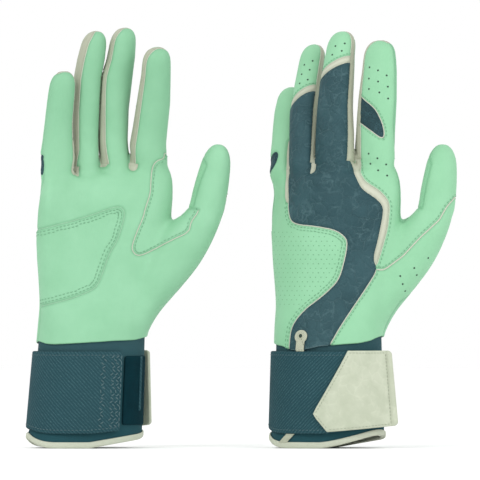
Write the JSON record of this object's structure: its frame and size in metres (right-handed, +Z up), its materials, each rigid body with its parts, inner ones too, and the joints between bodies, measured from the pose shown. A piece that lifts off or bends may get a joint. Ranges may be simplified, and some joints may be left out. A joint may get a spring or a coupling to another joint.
{
  "type": "batting gloves",
  "caption": "Pair of leather batting gloves standing on their cuffs, sewn from panels, with hinged finger stalls and hook-and-loop wrist straps that open.",
  "frame": {"origin": "on the ground, under the middle of the pair's box", "axes": "+Z up, along the fingers; +X to the left-hand glove; -Y towards the viewer, who sees the left-hand glove's back and the right-hand glove's palm"},
  "size_m": [0.276, 0.0932, 0.27],
  "materials": {
    "mint_leather": "soft grained sheepskin, satin",
    "teal_leather": "embossed synthetic leather, matt",
    "cream_leather": "smooth synthetic leather, satin",
    "tab_leather": "embossed moulded synthetic leather, satin",
    "neoprene": "knit-faced neoprene, matt",
    "elastic": "woven elastic, matt",
    "binding_tape": "woven tape, matt",
    "hook_and_loop": "hook and loop pile, matt"
  },
  "bodies": {
    "left_hand": {"left_palm_leather": "mint_leather", "left_heel_patch": "mint_leather", "left_web_patch": "mint_leather", "left_knuckle_overlay": "teal_leather", "left_ulnar_panel": "mint_leather", "left_radial_panel": "mint_leather", "left_web_panel": "mint_leather", "left_cuff_sleeve": "neoprene", "left_cuff_binding": "binding_tape", "left_wrist_strap": "elastic", "left_loop_patch": "hook_and_loop", "left_pull_loop": "binding_tape"},
    "left_tab": {"left_strap_tab": "tab_leather", "left_hook_patch": "hook_and_loop"},
    "left_index": {"left_index_front": "mint_leather", "left_index_back": "mint_leather", "left_index_wall": "cream_leather"},
    "left_middle": {"left_middle_front": "mint_leather", "left_middle_back": "teal_leather", "left_middle_wall": "cream_leather", "left_middle_cap": "mint_leather"},
    "left_ring": {"left_ring_front": "mint_leather", "left_ring_back": "teal_leather", "left_ring_wall": "cream_leather", "left_ring_cap": "mint_leather"},
    "left_pinky": {"left_pinky_front": "mint_leather", "left_pinky_back": "mint_leather", "left_pinky_wall": "cream_leather"},
    "left_thumb": {"left_thumb_front": "mint_leather", "left_thumb_back": "mint_leather"},
    "right_hand": {"right_palm_leather": "mint_leather", "right_heel_patch": "mint_leather", "right_web_patch": "mint_leather", "right_knuckle_overlay": "teal_leather", "right_ulnar_panel": "mint_leather", "right_radial_panel": "mint_leather", "right_web_panel": "mint_leather", "right_cuff_sleeve": "neoprene", "right_cuff_binding": "binding_tape", "right_wrist_strap": "elastic", "right_loop_patch": "hook_and_loop", "right_pull_loop": "binding_tape"},
    "right_tab": {"right_strap_tab": "tab_leather", "right_hook_patch": "hook_and_loop"},
    "right_index": {"right_index_front": "mint_leather", "right_index_back": "mint_leather", "right_index_wall": "cream_leather"},
    "right_middle": {"right_middle_front": "mint_leather", "right_middle_back": "teal_leather", "right_middle_wall": "cream_leather", "right_middle_cap": "mint_leather"},
    "right_ring": {"right_ring_front": "mint_leather", "right_ring_back": "teal_leather", "right_ring_wall": "cream_leather", "right_ring_cap": "mint_leather"},
    "right_pinky": {"right_pinky_front": "mint_leather", "right_pinky_back": "mint_leather", "right_pinky_wall": "cream_leather"},
    "right_thumb": {"right_thumb_front": "mint_leather", "right_thumb_back": "mint_leather"}
  },
  "joints": [
    {"name": "right_glove_lift", "type": "slide", "parent": "left_hand", "child": "right_hand", "axis": [0, 0, 1], "range_m": [0, 0.12]},
    {"name": "left_index_flex", "type": "hinge", "parent": "left_hand", "child": "left_index", "pos_m": [0.09223, -0.01112, 0.18435], "axis": [-0.829, 0.5592, 0], "range_deg": [0, 85]},
    {"name": "left_middle_flex", "type": "hinge", "parent": "left_hand", "child": "left_middle", "pos_m": [0.06538, -0.00735, 0.18188], "axis": [-0.829, 0.5592, 0], "range_deg": [0, 85]},
    {"name": "left_ring_flex", "type": "hinge", "parent": "left_hand", "child": "left_ring", "pos_m": [0.04585, 0.00092, 0.17996], "axis": [-0.829, 0.5592, 0], "range_deg": [0, 85]},
    {"name": "left_pinky_flex", "type": "hinge", "parent": "left_hand", "child": "left_pinky", "pos_m": [0.03219, 0.01537, 0.17441], "axis": [-0.829, 0.5592, 0], "range_deg": [0, 85]},
    {"name": "left_thumb_flex", "type": "hinge", "parent": "left_hand", "child": "left_thumb", "pos_m": [0.12232, -0.00767, 0.152], "axis": [-0.9708, -0.1887, 0.1478], "range_deg": [0, 50]},
    {"name": "left_tab_open", "type": "hinge", "parent": "left_hand", "child": "left_tab", "pos_m": [0.04589, -0.04173, 0.0365], "axis": [0, 0, -1], "range_deg": [0, 90]},
    {"name": "right_index_flex", "type": "hinge", "parent": "right_hand", "child": "right_index", "pos_m": [-0.05231, -0.02313, 0.18455], "axis": [0.9511, 0.309, 0], "range_deg": [0, 85]},
    {"name": "right_middle_flex", "type": "hinge", "parent": "right_hand", "child": "right_middle", "pos_m": [-0.07412, -0.02278, 0.18257], "axis": [0.9511, 0.309, 0], "range_deg": [0, 85]},
    {"name": "right_ring_flex", "type": "hinge", "parent": "right_hand", "child": "right_ring", "pos_m": [-0.09346, -0.02467, 0.1808], "axis": [0.9511, 0.309, 0], "range_deg": [0, 85]},
    {"name": "right_pinky_flex", "type": "hinge", "parent": "right_hand", "child": "right_pinky", "pos_m": [-0.11421, -0.03407, 0.17489], "axis": [0.9511, 0.309, 0], "range_deg": [0, 85]},
    {"name": "right_thumb_flex", "type": "hinge", "parent": "right_hand", "child": "right_thumb", "pos_m": [-0.02436, -0.02983, 0.152], "axis": [0.9637, -0.1526, -0.2193], "range_deg": [0, 50]},
    {"name": "right_tab_open", "type": "hinge", "parent": "right_hand", "child": "right_tab", "pos_m": [-0.10403, 0.01457, 0.0365], "axis": [0.059, 0.0062, 0.9982], "range_deg": [0, 90]}
  ]
}
